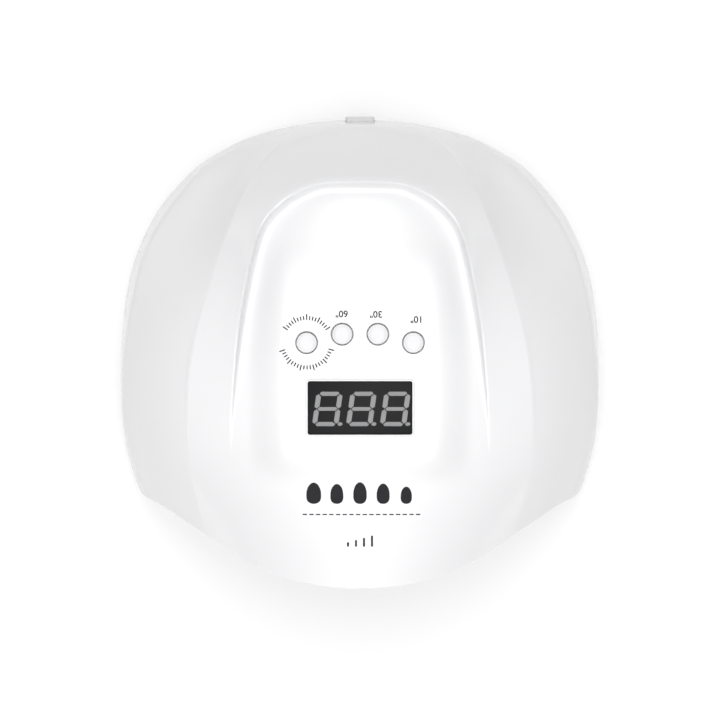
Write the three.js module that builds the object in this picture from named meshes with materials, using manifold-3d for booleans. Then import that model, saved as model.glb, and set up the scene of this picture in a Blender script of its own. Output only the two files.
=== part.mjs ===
// UV nail curing lamp: a glossy domed housing over an open-fronted hand cavity, with a
// faceted reflector liner, LED boards, a control board with four push buttons and a
// three-digit display, a DC inlet, and a magnetic base tray that drops off.
// Millimetres, +Z up, the cavity's mouth faces -Y, origin at the centre of the footprint.

import * as THREE from "three";
import { mergeVertices } from "three/addons/utils/BufferGeometryUtils.js";
import Module from "manifold-3d";

const wasm = await Module();
wasm.setup();

// ---------------------------------------------------------------- driving dimensions

const wall = 2.6; // housing wall
const rimZ = 3.0; // lower edge of the housing above the table
const footHeight = 1.5;
const trayTop = 3.7;
const sheetBottom = 4.0;
const sheetThickness = 0.6;
const flangeBottom = 4.3;
const flangeTop = 6.3;
const linerWall = 1.8;
const linerCeiling = 57.5;

// Feature lines of the housing for the half with x >= 0, each from the back to the mouth.
// All four have the same stations, so station i of one faces station i of the next.
const centreLine = [
  [0, 106.7, 3], [0, 105, 22], [0, 101.3, 40], [0, 91.5, 56.5], [0, 76.3, 79], [0, 61, 85.6],
  [0, 38, 88.3], [0, 8, 87], [0, -28, 83], [0, -68, 75], [0, -107.5, 61],
];
const ridgeLine = [
  [25, 105, 3], [31, 101.3, 21], [39.5, 92.5, 39], [47, 82, 52.5], [53.5, 69.5, 62.5], [60, 53.5, 69.5],
  [67, 33, 73.3], [74, 8, 73.6], [78, -22, 70], [77.2, -52, 61.5], [70, -83.3, 45.5],
];
const shoulderLine = [
  [60.2, 94.2, 3], [66.2, 89.4, 11.5], [73.6, 83, 19.5], [82, 72.6, 25.5], [90, 61.4, 29], [96.8, 49.4, 31],
  [102.3, 33, 32], [106.8, 10, 31], [109, -16, 27], [107.6, -40, 19.5], [102.6, -60.5, 8],
];
const outline = [
  [60.2, 94.2, 3], [67.3, 90.2, 3], [75.8, 84.4, 3], [85, 75, 3], [93.3, 64.3, 3], [100.2, 51, 3],
  [105.9, 34, 3], [109.2, 10.5, 3], [110, -16, 3], [108.2, -40.2, 3], [103, -60.3, 3],
];
// The housing's edge between the ridge and the shoulder, at the back and at the mouth.
const backEdge = [[25, 105, 3], [35, 103, 3], [44, 100.7, 3], [52.5, 97.9, 3], [60.2, 94.2, 3]];
const mouthEdge = [
  [70, -83.3, 45.5], [79, -77.7, 38.5], [87, -72.6, 30.5], [94, -68.8, 22], [99.4, -66, 14.5], [102.6, -60.5, 8],
];
const crownPower = 2.1; // how square the housing's crown is across
const mouthPower = 2.2; // how square the mouth's plan curve is

// Crest of the raised collar round the sunk control panel, in plan, from the centre of the
// back to the mouth. After its bend, each point faces the ridge's station of the same turn.
const collarCrest = [
  [0, 76.3], [11, 76.1], [21, 74.7], [31, 70], [35.7, 66.5], [40, 62.3], [44, 56.7], [47, 49.3],
  [49.8, 37.4], [52.8, 20.7], [55.2, 3], [57.7, -27], [58, -60], [51.8, -94.9],
];
const crestBend = 3;
const collarFront = -48; // where the collar has melted away
const collarRise = 4.6;
const collarSpread = 10; // how far out the collar's flare reaches
const panelSink = 3.3;
const spineTop = 0.6; // station where the panel's inner loops close

// Control panel, in the panel's own frame: x right, y towards the back, z out of the panel.
const panelTilt = THREE.MathUtils.degToRad(4.2);
const panelCentre = [0, -12, 83.75];
const buttonSpots = {
  "99s": [-23.9, 15.9],
  "60s": [-8, 19.7],
  "30s": [8, 19.7],
  "10s": [23.9, 15.9],
};
const buttonHoleR = 5.05;
const buttonR = 4.55;
const buttonTop = 0.7;
const displayCentreY = -13.4;
const windowWidth = 46.4;
const windowDepth = 23.6;
const windowTop = -0.5;
const windowThickness = 1.2;
const bezelWidth = 49.6;
const bezelDepth = 26.8;
const bezelTop = 0.5;
const boardTop = -11.4;
const boardThickness = 1.6;
const boardWidth = 98;
const boardDepth = 62;
const bossSpots = [[-44, 24], [44, 24], [-44, -27], [44, -27]];

// DC inlet at the back.
const inletWidth = 13.2;
const inletHeight = 11.5;
const inletBack = 107.5;
const inletFront = 96;
const inletBottom = 9;
const barrelR = 3.3;

// ---------------------------------------------------------------- small helpers

const smoothstep = (t) => {
  const c = Math.min(1, Math.max(0, t));
  return c * c * (3 - 2 * c);
};
const mix = (a, b, t) => a + (b - a) * t;
const mixPoints = (a, b, t) => a.map((v, k) => mix(v, b[k], t));

// A point of the smooth curve through evenly spaced stations, t from 0 to 1.
function along(points, t) {
  const last = points.length - 1;
  const s = Math.min(Math.max(t, 0), 1) * last;
  const i = Math.min(Math.floor(s), last - 1);
  const f = s - i;
  const before = points[i - 1] ?? points[i].map((v, k) => 2 * v - points[i + 1][k]);
  const after = points[i + 2] ?? points[i + 1].map((v, k) => 2 * v - points[i][k]);
  return points[i].map((v, k) => {
    const m0 = (points[i + 1][k] - before[k]) / 2;
    const m1 = (after[k] - v) / 2;
    const w = points[i + 1][k];
    return v + f * m0 + f * f * (3 * (w - v) - 2 * m0 - m1) + f * f * f * (2 * (v - w) + m0 + m1);
  });
}

// A three.js geometry as a manifold-3d solid.
function solidOf(geometry) {
  const bare = geometry.index ? geometry.toNonIndexed() : geometry.clone();
  bare.deleteAttribute("normal");
  bare.deleteAttribute("uv");
  const merged = mergeVertices(bare, 1e-4);
  return new wasm.Manifold(
    new wasm.Mesh({
      numProp: 3,
      vertProperties: new Float32Array(merged.attributes.position.array),
      triVerts: new Uint32Array(merged.index.array),
    }),
  );
}

// A manifold-3d solid as a three.js geometry.
function geometryOf(solid) {
  const found = solid.getMesh();
  const positions = new Float32Array(found.numVert * 3);
  for (let i = 0; i < found.numVert; i++) {
    positions.set(found.vertProperties.subarray(i * found.numProp, i * found.numProp + 3), i * 3);
  }
  const geometry = new THREE.BufferGeometry();
  geometry.setAttribute("position", new THREE.BufferAttribute(positions, 3));
  geometry.setIndex(new THREE.BufferAttribute(new Uint32Array(found.triVerts), 1));
  geometry.computeVertexNormals();
  return geometry;
}

const box = (w, d, h, x = 0, y = 0, z = 0) => new THREE.BoxGeometry(w, d, h).translate(x, y, z);

// A cylinder, cone or cup standing along +Z from z0 to z1.
function post(radius, z0, z1, x = 0, y = 0, sides = 16, topRadius = radius) {
  return new THREE.CylinderGeometry(topRadius, radius, z1 - z0, sides)
    .rotateX(Math.PI / 2)
    .translate(x, y, (z0 + z1) / 2);
}

// A turned piece from its profile of [radius, height], starting and ending on the axis.
function turned(profile, sides = 16) {
  const points = profile.map(([r, z]) => new THREE.Vector2(r, z));
  return new THREE.LatheGeometry(points, sides).rotateX(Math.PI / 2);
}

function plate(points, z0, z1) {
  const shape = new THREE.Shape(points.map(([x, y]) => new THREE.Vector2(x, y)));
  return new THREE.ExtrudeGeometry(shape, { depth: z1 - z0, bevelEnabled: false }).translate(0, 0, z0);
}

function finish(color, roughness, metalness = 0) {
  return new THREE.MeshStandardMaterial({ color, roughness, metalness });
}

const materials = {
  gloss: finish("#f5f5f6", 0.12),
  satinWhite: finish("#eeeeef", 0.35),
  mirror: finish("#d5d8dc", 0.08, 1),
  inletGrey: finish("#b9babc", 0.4),
  black: finish("#161618", 0.3),
  lens: finish("#e9e6f2", 0.1),
  board: finish("#1f5c38", 0.5),
  ledBoard: finish("#f0f0ee", 0.45),
  steel: finish("#b5b8bb", 0.3, 1),
  nickel: finish("#cfcdc6", 0.25, 1),
  rubber: finish("#8c8d90", 0.85),
  red: finish("#b3201d", 0.5),
  chip: finish("#202124", 0.55),
  cream: finish("#e6e0cf", 0.5),
};

const lamp = new THREE.Group();

function add(name, geometry, material, parent = lamp) {
  const mesh = new THREE.Mesh(geometry, material);
  mesh.name = name;
  parent.add(mesh);
  return mesh;
}

// ---------------------------------------------------------------- housing surface

// Crown of the housing, between the two ridges: s from back to mouth, w from 0 at the
// centre line to 1 at the ridge.
function crownPoint(s, w) {
  const c = along(centreLine, s);
  const r = along(ridgeLine, s);
  const bulge = mix(2, mouthPower, smoothstep((s - 0.6) / 0.4));
  return [w * r[0], mix(c[1], r[1], w ** bulge), mix(c[2], r[2], w ** crownPower)];
}

// The crown's (s, w) above a point in plan.
function crownCoords([x, y]) {
  let low = 0;
  let high = 1;
  let s = 0.5;
  for (let i = 0; i < 40; i++) {
    s = (low + high) / 2;
    if (crownPoint(s, x / along(ridgeLine, s)[0])[1] > y) low = s;
    else high = s;
  }
  return [s, x / along(ridgeLine, s)[0]];
}

// Wing, from the ridge (t = 0) to the shoulder (t = 1).
function wingPoint(s, t) {
  const ruled = (q) => mixPoints(along(ridgeLine, q), along(shoulderLine, q), t);
  const p = ruled(s);
  const atBack = ruled(0);
  const atMouth = ruled(1);
  const back = along(backEdge, t);
  const mouth = along(mouthEdge, t);
  const nearBack = (1 - s) ** 4;
  const nearMouth = s ** 4;
  const point = p.map((v, k) => v + nearBack * (back[k] - atBack[k]) + nearMouth * (mouth[k] - atMouth[k]));
  const ends = Math.sin(Math.PI * s);
  const scoop = 8 * smoothstep((0.75 - s) / 0.5) * 6.75 * t * (1 - t) ** 2;
  const swell = 3.5 * smoothstep((s - 0.45) / 0.3) * 4 * t * (1 - t);
  point[2] += ends * (swell - scoop);
  return point;
}

// Side wall, from the shoulder (t = 0) to the lower edge (t = 1).
const sidePoint = (s, t) => mixPoints(along(shoulderLine, s), along(outline, s), t);

const collarStrength = (y) => collarRise * smoothstep((y - collarFront) / (62 - collarFront));
const panelDepth = (y) => panelSink * smoothstep((y - collarFront) / (40 - collarFront));
const stepWidth = (y) => mix(mix(1.2, 3.6, smoothstep((y + 48) / 96)), 5.2, smoothstep((y - 50) / 22));

// The sunk panel's surface, dead flat round the buttons and the display.
function sinkPanel([x, y, z]) {
  const acrossFlat = smoothstep((50 - Math.abs(x)) / 20);
  const alongFlat = smoothstep((44 - y) / 18) * smoothstep((y + 60) / 18);
  const plane = panelCentre[2] + (y - panelCentre[1]) * Math.tan(panelTilt);
  return [x, y, mix(z - panelDepth(y), plane, acrossFlat * alongFlat)];
}

// One line of the crown from its outer edge in to the centre line, over the collar. It
// starts at station s of the ridge, or at w of the back edge when s is 0.
function crownLine(s, w, outsideCuts, stepCuts, panelCuts, withCollar) {
  const turn = s > 0 ? crestBend + s * (collarCrest.length - 1 - crestBend) : crestBend * w;
  const at = turn / (collarCrest.length - 1);
  const crest = along(collarCrest, at);
  const ahead = along(collarCrest, at + 0.004);
  const behind = along(collarCrest, at - 0.004);
  const reach = Math.hypot(ahead[0] - behind[0], ahead[1] - behind[1]);
  const width = stepWidth(crest[1]);
  const foot = [
    crest[0] + ((ahead[1] - behind[1]) / reach) * width,
    crest[1] - ((ahead[0] - behind[0]) / reach) * width,
  ];
  if (s === 0 && w === 0) foot[0] = 0;
  const crestCoords = s === 1 ? [1, crownCoords(crest)[1]] : crownCoords(crest);
  const footCoords = s === 1 ? [1, crownCoords(foot)[1]] : crownCoords(foot);
  const outer = s > 0 ? [s, 1] : [0, w];
  const spine = [mix(spineTop, 1, s * s), 0];
  const rise = withCollar ? collarStrength(crest[1]) : 0;
  const line = [];
  for (const k of outsideCuts) {
    const p = crownPoint(...mixPoints(outer, crestCoords, k));
    const away = Math.hypot(p[0] - crest[0], p[1] - crest[1]);
    line.push([p[0], p[1], p[2] + rise * Math.exp(-away / collarSpread) * (1 - (1 - k) ** 2)]);
  }
  const bottom = crownPoint(...footCoords);
  const sunk = sinkPanel(bottom)[2] - bottom[2];
  for (const k of stepCuts) {
    const p = crownPoint(...mixPoints(crestCoords, footCoords, k));
    line.push([p[0], p[1], p[2] + mix(rise, sunk, k * (2 - k))]);
  }
  for (const k of panelCuts) line.push(sinkPanel(crownPoint(...mixPoints(footCoords, spine, k))));
  return line;
}

const stations = [0, 4, 8, 13, 19, 25, 31, 37, 43, 50, 57, 64, 71, 78, 84, 89, 93, 97, 100].map((v) => v / 100);
const backCuts = [0, 0.2, 0.4, 0.6, 0.8];

// Quads between neighbouring lines of points, as a merged three.js geometry.
function surfaceOf(patches) {
  const positions = [];
  const triangle = (...points) => {
    const keys = new Set(points.map((p) => p.map((v) => v.toFixed(3)).join()));
    if (keys.size === 3) positions.push(...points.flat());
  };
  for (const lines of patches) {
    for (let i = 0; i + 1 < lines.length; i++) {
      for (let j = 0; j + 1 < lines[i].length; j++) {
        triangle(lines[i][j], lines[i + 1][j + 1], lines[i + 1][j]);
        triangle(lines[i][j], lines[i][j + 1], lines[i + 1][j + 1]);
      }
    }
  }
  const geometry = new THREE.BufferGeometry();
  geometry.setAttribute("position", new THREE.Float32BufferAttribute(positions, 3));
  const merged = mergeVertices(geometry, 1e-3);
  merged.computeVertexNormals();
  return merged;
}

// Patches for x >= 0 and their mirror images, wound the same way round.
function bothHalves(patches) {
  const mirrored = patches.map((lines) => lines.map((line) => line.map(([x, y, z]) => [-x, y, z])).reverse());
  return [...patches, ...mirrored];
}

// The housing's outer surface.
function housingSurface(withCollar) {
  const crownFrom = (s, w) =>
    crownLine(s, w, [0, 0.2, 0.4, 0.58, 0.74, 0.86, 0.94, 1], [0.25, 0.5, 0.75, 1], [0.15, 0.35, 0.6, 1], withCollar);
  const crown = [...backCuts.map((w) => crownFrom(0, w)), ...stations.map((s) => crownFrom(s, 1))];
  const across = (point, cuts) => stations.map((s) => Array.from({ length: cuts + 1 }, (_, i) => point(s, 1 - i / cuts)));
  return surfaceOf(bothHalves([crown, across(wingPoint, 6), across(sidePoint, 2)]));
}

// The closed solid between a surface and its copy moved by place(point, normal).
function thicken(surface, place) {
  const points = surface.attributes.position;
  const normals = surface.attributes.normal;
  const index = surface.index.array;
  const count = points.count;
  const positions = Array.from(points.array);
  for (let i = 0; i < count; i++) {
    const point = new THREE.Vector3().fromBufferAttribute(points, i);
    const normal = new THREE.Vector3().fromBufferAttribute(normals, i);
    positions.push(...place(point, normal, i));
  }
  const triangles = Array.from(index);
  const edges = new Set();
  for (let i = 0; i < index.length; i += 3) {
    const [a, b, c] = index.slice(i, i + 3);
    triangles.push(a + count, c + count, b + count);
    [[a, b], [b, c], [c, a]].forEach(([p, q]) => edges.add(`${p} ${q}`));
  }
  for (const edge of edges) {
    const [p, q] = edge.split(" ").map(Number);
    if (!edges.has(`${q} ${p}`)) triangles.push(q, p, p + count, q, p + count, q + count);
  }
  return new wasm.Manifold(
    new wasm.Mesh({
      numProp: 3,
      vertProperties: new Float32Array(positions),
      triVerts: new Uint32Array(triangles),
    }),
  );
}

const outerSurface = housingSurface(true);
const plainSurface = housingSurface(false);

// Everything under the outer surface, to trim posts with.
const underSkin = thicken(outerSurface, (p) => [p.x, p.y, -5]);

function housingShell() {
  const plain = plainSurface.attributes;
  return thicken(outerSurface, (p, n, i) => {
    const base = new THREE.Vector3().fromBufferAttribute(plain.position, i);
    const out = new THREE.Vector3().fromBufferAttribute(plain.normal, i);
    if (p.z < rimZ + 0.01) out.setZ(0).normalize();
    return base.addScaledVector(out, -wall).toArray();
  });
}

const panelFrame = new THREE.Matrix4()
  .makeRotationX(panelTilt)
  .premultiply(new THREE.Matrix4().makeTranslation(...panelCentre));
const inPanel = (geometry) => geometry.applyMatrix4(panelFrame);

const screwSpots = [[-100, -28], [100, -28], [-77, 68], [77, 68]];
const pilotR = 1.4;

function buildHousing() {
  let housing = housingShell();
  for (const [x, y] of screwSpots) {
    housing = housing.add(solidOf(post(3.6, flangeTop + 0.3, 60, x, y, 12)).intersect(underSkin));
    housing = housing.subtract(solidOf(post(pilotR, flangeTop, 17, x, y, 10)));
  }
  for (const [x, y] of bossSpots) {
    housing = housing.add(solidOf(inPanel(post(3.2, boardTop + 0.3, 2, x, y, 12))).intersect(underSkin));
    housing = housing.subtract(solidOf(inPanel(post(1.2, boardTop, -6.2, x, y, 10))));
  }
  for (const [x, y] of Object.values(buttonSpots)) {
    housing = housing.subtract(solidOf(inPanel(post(buttonHoleR, -12, 8, x, y, 24))));
  }
  const windowHole = box(windowWidth + 0.8, windowDepth + 0.8, 20, 0, displayCentreY, 0);
  housing = housing.subtract(solidOf(inPanel(windowHole)));
  const slot = box(inletWidth + 0.6, 30, inletHeight + 0.6, 0, inletBack, inletBottom + inletHeight / 2);
  return housing.subtract(solidOf(slot));
}

add("top_housing", geometryOf(buildHousing()), materials.gloss);

// ---------------------------------------------------------------- control panel

const panel = new THREE.Group();
panel.rotation.x = panelTilt;
panel.position.set(...panelCentre);
lamp.add(panel);

const capUnder = -3.5;
const collarUnder = -4.3;
const plungerTop = -5.9;
const plungerR = 1.7;
const switchSize = 6.2;
const switchHeight = 3.6;
const onBoard = boardTop + 0.3;

function addButton(label, [x, y]) {
  const cap = turned([
    [0, plungerTop + 0.3], [1.6, plungerTop + 0.3], [1.6, collarUnder], [6.1, collarUnder], [6.1, capUnder],
    [buttonR, capUnder], [buttonR, buttonTop - 0.6], [buttonR - 0.5, buttonTop - 0.15], [0, buttonTop],
  ], 20);
  add(`button_${label}`, cap, materials.gloss, panel).position.set(x, y, 0);
  const plunger = turned([[0, -8.6], [plungerR, -8.6], [plungerR, plungerTop], [0, plungerTop]], 12);
  add(`plunger_${label}`, plunger, materials.cream, panel).position.set(x, y, 0);
  const well = solidOf(post(plungerR + 0.35, -9.9, -6, 0, 0, 12));
  const body = solidOf(box(switchSize, switchSize, switchHeight, 0, 0, onBoard + switchHeight / 2)).subtract(well);
  add(`switch_${label}`, geometryOf(body), materials.chip, panel).position.set(x, y, 0);
}
Object.entries(buttonSpots).forEach(([label, spot]) => addButton(label, spot));

function roundedRectangle(width, depth, radius) {
  const shape = new THREE.Shape();
  const x = width / 2 - radius;
  const y = depth / 2 - radius;
  shape.absarc(x, y, radius, 0, Math.PI / 2);
  shape.absarc(-x, y, radius, Math.PI / 2, Math.PI);
  shape.absarc(-x, -y, radius, Math.PI, 1.5 * Math.PI);
  shape.absarc(x, -y, radius, 1.5 * Math.PI, 2 * Math.PI);
  return shape;
}

const slab = (shape, z0, z1, curveSegments = 5) =>
  new THREE.ExtrudeGeometry(shape, { depth: z1 - z0, bevelEnabled: false, curveSegments }).translate(0, 0, z0);

// The raised white frame round the window sits on the panel with a lip down into the hole.
const bezelShape = roundedRectangle(bezelWidth, bezelDepth, 2.6);
bezelShape.holes.push(roundedRectangle(windowWidth + 0.6, windowDepth + 0.6, 1.6));
const bezel = slab(bezelShape, 0.3, bezelTop + 0.3).translate(0, displayCentreY, 0);
add("display_bezel", bezel, materials.gloss, panel);

const windowBottom = windowTop - windowThickness;
const pane = slab(roundedRectangle(windowWidth, windowDepth, 1.2), windowBottom, windowTop);
add("display_window", pane.translate(0, displayCentreY, 0), materials.black, panel);

const moduleTop = windowBottom - 0.3;
const moduleHeight = moduleTop - onBoard;
const displayModule = box(windowWidth - 1, windowDepth - 1, moduleHeight, 0, displayCentreY, onBoard + moduleHeight / 2);
add("display_module", displayModule, materials.satinWhite, panel);

const boardShift = -1.5;
const boardShape = roundedRectangle(boardWidth, boardDepth, 3);
bossSpots.forEach(([x, y]) => {
  boardShape.holes.push(new THREE.Path().absarc(x, y - boardShift, 1.6, 0, 2 * Math.PI));
});
const boardBottom = boardTop - boardThickness;
add("control_board", slab(boardShape, boardBottom, boardTop, 4).translate(0, boardShift, 0), materials.board, panel);

const underBoard = boardBottom - 0.3;
const hung = (w, d, h, x, y) => box(w, d, h, x, y, underBoard - h / 2);
add("controller_chip", hung(10, 8, 1.6, 4, 2), materials.chip, panel);
add("driver_transistor", hung(10, 9, 2.3, -22, 14), materials.chip, panel);
const can = [[0, -6.4], [3.9, -6.4], [4.1, -6], [4.1, 0], [0, 0]];
[[30, 16], [30, 4]].forEach(([x, y], i) => {
  add(`capacitor_${i + 1}`, turned(can, 16), materials.black, panel).position.set(x, y, underBoard);
});
add("power_connector", hung(8, 6, 5, 0, 24), materials.cream, panel);
add("led_connector", hung(12, 6, 5, -24, -2), materials.cream, panel);

const boardScrew = [[0, 0], [1.7, 0], [2, 0.9], [2, 1.6], [1, 1.6], [1, 7.6], [0.5, 8.4], [0, 8.4]];
bossSpots.forEach(([x, y], i) => {
  add(`board_screw_${i + 1}`, turned(boardScrew, 10), materials.steel, panel).position.set(x, y, underBoard - 1.6);
});

// ---------------------------------------------------------------- reflector liner

const linerScale = [0.855, 0.87];
const linerShift = -1.5;
const linerStations = [0, 5, 10, 17, 25, 34, 45, 58, 70, 79, 84, 88, 92, 96, 100].map((v) => v / 100);

// The liner's outer face is the housing's at a smaller scale, flattened to a level
// ceiling, and flares out to meet the housing at the mouth.
function linerPoint(s, [x, y, z]) {
  const open = smoothstep((s - 0.84) / 0.16);
  const ceiling = linerCeiling + 8 * open;
  const low = z * 0.93 - 1.5;
  const soft = 3.5;
  const flat = -soft * Math.log(Math.exp(-low / soft) + Math.exp(-ceiling / soft));
  const shrunk = [x * linerScale[0], y * linerScale[1] + linerShift, flat];
  const p = mixPoints(shrunk, [0.966 * x, 0.985 * y, 0.94 * z], open);
  return [p[0], p[1], Math.max(p[2], flangeBottom)];
}

function linerShell() {
  const lines = linerStations.map((s) =>
    [
      ...[1, 0.5].map((t) => sidePoint(s, t)),
      ...[1, 0.75, 0.5, 0.25].map((t) => wingPoint(s, t)),
      ...[1, 0.8, 0.6, 0.4, 0.2, 0].map((w) => crownPoint(s, w)),
    ].map((p) => linerPoint(s, p)),
  );
  return thicken(surfaceOf(bothHalves([lines])), (p, n) => {
    const onRim = p.z < flangeBottom + 0.01;
    if (onRim) n.setZ(0).normalize();
    return p.addScaledVector(n, -linerWall).toArray();
  });
}

// The housing's footprint, x >= 0, from the centre of the back to the front corner.
function footprintHalf(inset, sideCuts = 14) {
  const half = [0, 0.25, 0.5, 0.75].map((w) => crownPoint(0, w));
  for (let i = 0; i <= 4; i++) half.push(along(backEdge, i / 4));
  for (let i = 1; i <= sideCuts; i++) half.push(along(outline, i / sideCuts));
  return half.map(([x, y], i) => {
    const a = half[Math.max(i - 1, 0)];
    const b = half[Math.min(i + 1, half.length - 1)];
    const length = Math.hypot(b[0] - a[0], b[1] - a[1]);
    const out = i === 0 ? [0, 1] : [-(b[1] - a[1]) / length, (b[0] - a[0]) / length];
    return [x - out[0] * inset, y - out[1] * inset];
  });
}
const bothSides = (half) => [...half.slice(1).map(([x, y]) => [-x, y]).reverse(), ...half];

// LED boards: where each sits over the liner, which way it faces, and its emitters.
const ledR = 2.6;
const ledHoleR = 3.3;
const ledBoardThickness = 1.2;
const ledLength = 7;
const ledBoards = [
  { name: "led_board_ceiling", at: [0, -5, 58], turn: [0, 0], size: [92, 72], grid: [4, 3], pitch: [24, 26] },
  { name: "led_board_back", at: [0, 68, 45], turn: [-47, 0], size: [56, 14], grid: [3, 1], pitch: [20, 0] },
  { name: "led_board_left", at: [-64, -10, 46], turn: [0, -42], size: [16, 88], grid: [1, 4], pitch: [0, 24] },
  { name: "led_board_right", at: [64, -10, 46], turn: [0, 42], size: [16, 88], grid: [1, 4], pitch: [0, 24] },
  { name: "thumb_board_left", at: [-86, 4, 21], turn: [0, -72], size: [12, 50], grid: [1, 3], pitch: [0, 18] },
  { name: "thumb_board_right", at: [86, 4, 21], turn: [0, 72], size: [12, 50], grid: [1, 3], pitch: [0, 18] },
];

function boardFrame({ at, turn }) {
  const [tx, ty] = turn.map(THREE.MathUtils.degToRad);
  return new THREE.Matrix4()
    .makeRotationFromEuler(new THREE.Euler(tx, ty, 0))
    .premultiply(new THREE.Matrix4().makeTranslation(...at));
}

function ledSpots({ grid, pitch }) {
  const spots = [];
  for (let i = 0; i < grid[0]; i++) {
    for (let j = 0; j < grid[1]; j++) {
      spots.push([(i - (grid[0] - 1) / 2) * pitch[0], (j - (grid[1] - 1) / 2) * pitch[1]]);
    }
  }
  return spots;
}

const sensorSpots = { sensor_emitter: [-9, -83.5], sensor_receiver: [9, -83.5] };

function buildLiner() {
  let liner = linerShell();
  const outer = footprintHalf(wall + 1.8).slice(0, -1);
  const inner = footprintHalf(0)
    .slice(0, -1)
    .map(([x, y]) => [x * linerScale[0] * 0.985, y * linerScale[1] * 0.985 + linerShift]);
  const ring = plate([...bothSides(outer), ...bothSides(inner).reverse()], flangeBottom, flangeTop);
  liner = liner.add(solidOf(ring));
  const seats = [];
  for (const spec of ledBoards) {
    for (const [x, y] of ledSpots(spec)) {
      seats.push(solidOf(post(ledHoleR, -12, 14, x, y, 8).applyMatrix4(boardFrame(spec))));
    }
  }
  for (const [x, y] of Object.values(sensorSpots)) seats.push(solidOf(post(2, 40, 75, x, y, 8)));
  for (const [x, y] of screwSpots) seats.push(solidOf(post(1.7, 0, 12, x, y, 10)));
  for (const [x, y] of screwSpots) seats.push(solidOf(post(3.6, 4, 5.8, x, y, 10, 1.7)));
  seats.forEach((seat) => (liner = liner.subtract(seat)));
  return liner;
}
const linerSolid = buildLiner();
add("reflector_liner", geometryOf(linerSolid), materials.mirror);

// Each board is slid in along its own facing until it all but touches the liner.
for (const spec of ledBoards) {
  const flat = solidOf(box(...spec.size, ledBoardThickness, 0, 0, ledBoardThickness / 2));
  const frame = boardFrame(spec);
  let lift = 20;
  const clears = (z) => flat.translate([0, 0, z]).transform(frame.toArray()).intersect(linerSolid).isEmpty();
  while (lift > -20 && clears(lift - 0.4)) lift -= 0.1;
  let board = flat;
  for (const [x, y] of ledSpots(spec)) {
    const dome = [[0, -ledLength], [1.5, 0.4 - ledLength], [ledR, 2 - ledLength], [ledR, 0.4], [0, 0.4]];
    board = board.add(solidOf(turned(dome, 10).translate(x, y, 0)));
  }
  add(spec.name, geometryOf(board.translate([0, 0, lift])), materials.ledBoard).applyMatrix4(frame);
}

for (const [name, [x, y]] of Object.entries(sensorSpots)) {
  const eye = turned([[0, 0], [1, 0.2], [1.6, 1.4], [1.6, 7.4], [2.6, 7.4], [2.6, 8.2], [0, 8.2]], 12);
  add(name, eye, materials.black).position.set(x, y, 57);
}

// ---------------------------------------------------------------- base tray

// The tray's front edge follows the mouth's lip from corner to corner.
function trayOutline(inset) {
  const side = footprintHalf(inset);
  const lip = [1, 0.8, 0.6, 0.4, 0.2].map((t) => wingPoint(1, t));
  for (const w of [1, 0.86, 0.72, 0.58, 0.43, 0.29, 0.14, 0]) lip.push(crownPoint(1, w));
  const [cornerX, cornerY] = side[side.length - 1];
  const front = lip.map(([x, y]) => [Math.min(x, cornerX), Math.min(y + inset * 0.6, cornerY - 1)]);
  const half = [...side, ...front];
  return [...half.slice(1, -1).map(([x, y]) => [-x, y]).reverse(), ...half];
}

const footSpots = [[-78, -52], [78, -52], [-62, 66], [62, 66]];
const magnetSpots = [[-99.3, 4], [99.3, 4], [-51, 86], [51, 86]];
const magnetR = 4;
const keeperR = 5;
const keeperTop = 3.4;
const keeperThickness = 1;

let tray = solidOf(plate(trayOutline(wall + 0.6), footHeight, trayTop));
for (const [x, y] of footSpots) tray = tray.subtract(solidOf(post(6.4, 0, footHeight + 0.8, x, y, 20)));
for (const [x, y] of magnetSpots) {
  tray = tray.subtract(solidOf(post(keeperR + 0.3, keeperTop - keeperThickness - 0.3, 5, x, y, 16)));
}
for (const [x, y] of screwSpots) tray = tray.subtract(solidOf(post(3.4, trayTop - 0.8, 5, x, y, 12)));
add("base_tray", geometryOf(tray), materials.satinWhite);

const sheetScale = 0.82;
const sheet = trayOutline(0).map(([x, y]) => [x * sheetScale, y * sheetScale + linerShift]);
add("mirror_sheet", plate(sheet, sheetBottom, sheetBottom + sheetThickness), materials.mirror);

footSpots.forEach(([x, y], i) => {
  const foot = turned([[0, 0], [5.4, 0], [6, 0.6], [6, footHeight + 0.5], [0, footHeight + 0.5]], 20);
  add(`foot_${i + 1}`, foot, materials.rubber).position.set(x, y, 0);
});
magnetSpots.forEach(([x, y], i) => {
  add(`keeper_${i + 1}`, post(keeperR, keeperTop - keeperThickness, keeperTop, x, y), materials.steel);
  add(`magnet_${i + 1}`, post(magnetR, flangeTop + 0.3, flangeTop + 3.3, x, y), materials.nickel);
});

const housingScrew = [[0, 4.4], [2.7, 4.4], [1.3, 5.7], [1.05, 5.7], [1.05, 13], [0.5, 14], [0, 14]];
screwSpots.forEach(([x, y], i) => {
  add(`housing_screw_${i + 1}`, turned(housingScrew, 12), materials.steel).position.set(x, y, 0);
});

// ---------------------------------------------------------------- DC inlet and wiring

const inletLength = inletBack - inletFront;
const inletZ = inletBottom + inletHeight / 2;
const inletBlock = solidOf(box(inletWidth, inletLength, inletHeight, 0, inletBack - inletLength / 2, inletZ));
const barrel = post(barrelR, 0, inletLength - 2.5, 0, 0, 20).rotateX(-Math.PI / 2);
const barrelHole = solidOf(barrel.translate(0, inletBack - (inletLength - 2.5), inletZ));
const mouthCut = solidOf(post(barrelR, -1, 1, 0, 0, 20).rotateX(-Math.PI / 2).translate(0, inletBack, inletZ));
add("inlet_housing", geometryOf(inletBlock.subtract(barrelHole).subtract(mouthCut)), materials.inletGrey);
const pin = turned([[0, 0], [1, 0], [1, 6.6], [0.5, 7.2], [0, 7.2]], 12).rotateX(-Math.PI / 2);
add("inlet_pin", pin, materials.nickel).position.set(0, inletFront + 2.8, inletZ);

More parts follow.
